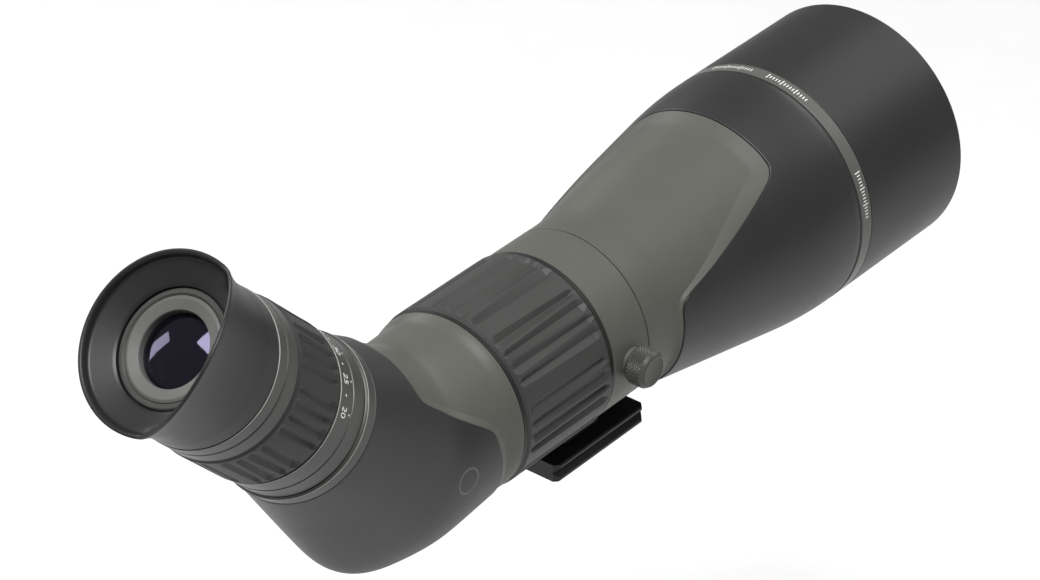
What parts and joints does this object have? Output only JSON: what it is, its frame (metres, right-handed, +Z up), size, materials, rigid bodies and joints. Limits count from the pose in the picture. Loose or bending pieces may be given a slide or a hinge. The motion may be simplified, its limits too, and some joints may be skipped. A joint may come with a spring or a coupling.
{
  "type": "spotting scope",
  "caption": "Angled spotting scope with a flared objective barrel, sliding hood, rotating dovetail collar, ribbed focus ring, prism housing and zoom eyepiece with a shielded twist-up eyecup.",
  "frame": {"origin": "mouth of the tripod thread, in the middle of the foot's underside", "axes": "+Y along the barrel towards the objective, +X to the user's right, +Z up"},
  "size_m": [0.0984, 0.4108, 0.1701],
  "materials": {
    "body_paint": "satin warm grey-green powder coat",
    "armour_rubber": "smooth matt rubber armour",
    "grip_rubber": "moulded matt rubber",
    "hood_paint": "fine satin black",
    "band_paint": "satin grey",
    "medallion_metal": "satin",
    "black_anodised": "matt black anodised",
    "foot_metal": "black anodised",
    "bare_aluminium": "turned",
    "steel": "turned",
    "brass": "turned",
    "nylon": "moulded",
    "seal_rubber": "smooth",
    "lens_glass": "coated optical glass"
  },
  "bodies": {
    "collar": {"collar": "body_paint", "collar_liner": "nylon", "foot_plate": "foot_metal", "foot_screws": "steel", "tripod_insert": "steel"},
    "lock_shoe": {"lock_shoe": "brass"},
    "lock_knob": {"lock_screw": "steel", "lock_knob": "body_paint"},
    "scope": {"chassis_tube": "bare_aluminium", "barrel_shell": "body_paint", "barrel_armour": "armour_rubber", "marking_band": "band_paint", "objective_cell": "black_anodised", "objective_crown": "lens_glass", "objective_flint": "lens_glass", "objective_spacer": "brass", "objective_seal": "seal_rubber", "objective_retainer": "black_anodised", "barrel_baffles": "black_anodised", "hood_guide_ring": "nylon", "focus_seals": "seal_rubber", "prism_housing": "body_paint", "rear_armour": "armour_rubber", "side_medallion": "medallion_metal", "prism_cage": "bare_aluminium", "roof_prism": "lens_glass", "prism_clamp": "bare_aluminium", "prism_screws": "steel", "purge_screw": "brass", "eyepiece_tube": "bare_aluminium", "eyepiece_base_ring": "body_paint", "stop_ring": "body_paint", "guide_tube": "bare_aluminium", "eyepiece_head": "black_anodised", "field_stop": "black_anodised", "eye_doublet": "lens_glass", "eye_lens": "lens_glass", "eye_lens_retainer": "black_anodised", "eyecup_guide_pins": "steel"},
    "hood": {"hood": "hood_paint"},
    "focus_ring": {"focus_sleeve": "bare_aluminium", "focus_grip": "grip_rubber"},
    "focus_carriage": {"focus_carriage": "bare_aluminium", "focus_lens": "lens_glass", "focus_retainer": "black_anodised", "focus_pins": "brass"},
    "zoom_ring": {"zoom_ring": "body_paint", "zoom_grip": "grip_rubber", "cam_tube": "brass", "zoom_drive_screws": "steel"},
    "field_group": {"field_cell": "black_anodised", "field_lens": "lens_glass", "field_pins": "steel"},
    "relay_group": {"relay_cell": "black_anodised", "relay_lens": "lens_glass", "relay_pins": "steel"},
    "eyecup_glide": {"eyecup_glide": "nylon"},
    "eyecup": {"eyecup_sleeve": "bare_aluminium", "eyecup_rubber": "grip_rubber"}
  },
  "joints": [
    {"name": "collar_rotation", "type": "hinge", "parent": "collar", "child": "scope", "pos_m": [0, 0, 0.048], "axis": [0, 1, 0], "continuous": true},
    {"name": "lock_travel", "type": "slide", "parent": "collar", "child": "lock_shoe", "axis": [1, 0, 0], "range_m": [0, 0.0012]},
    {"name": "lock_turn", "type": "hinge", "parent": "lock_shoe", "child": "lock_knob", "pos_m": [0.036, -0.00325, 0.048], "axis": [1, 0, 0], "range_deg": [-540, 0]},
    {"name": "hood_slide", "type": "slide", "parent": "scope", "child": "hood", "axis": [0, 1, 0], "range_m": [0, 0.03]},
    {"name": "focus_turn", "type": "hinge", "parent": "scope", "child": "focus_ring", "pos_m": [0, -0.0384, 0.048], "axis": [0, 1, 0], "range_deg": [-270, 270]},
    {"name": "focus_lens_travel", "type": "slide", "parent": "scope", "child": "focus_carriage", "axis": [0, 1, 0], "range_m": [-0.0071, 0.0071]},
    {"name": "zoom_turn", "type": "hinge", "parent": "scope", "child": "zoom_ring", "pos_m": [0, -0.16761, 0.10881], "axis": [0, -0.7071, 0.7071], "range_deg": [-75, 75]},
    {"name": "field_travel", "type": "slide", "parent": "scope", "child": "field_group", "axis": [0, -0.7071, 0.7071], "range_m": [-0.00605, 0.00605]},
    {"name": "relay_travel", "type": "slide", "parent": "scope", "child": "relay_group", "axis": [0, -0.7071, 0.7071], "range_m": [-0.00455, 0.00455]},
    {"name": "eyecup_lift", "type": "slide", "parent": "scope", "child": "eyecup_glide", "axis": [0, -0.7071, 0.7071], "range_m": [0, 0.00905]},
    {"name": "eyecup_turn", "type": "hinge", "parent": "eyecup_glide", "child": "eyecup", "pos_m": [0, -0.19519, 0.13639], "axis": [0, -0.7071, 0.7071], "range_deg": [0, 120]}
  ],
  "couplings": [
    {"joint": "lock_turn", "follows": "lock_travel", "rad_per_m": -7854},
    {"joint": "focus_lens_travel", "follows": "focus_turn", "m_per_rad": 0.0014854},
    {"joint": "field_travel", "follows": "zoom_turn", "m_per_rad": 0.0045837},
    {"joint": "relay_travel", "follows": "zoom_turn", "m_per_rad": -0.0034377},
    {"joint": "eyecup_lift", "follows": "eyecup_turn", "m_per_rad": 0.0042972}
  ]
}
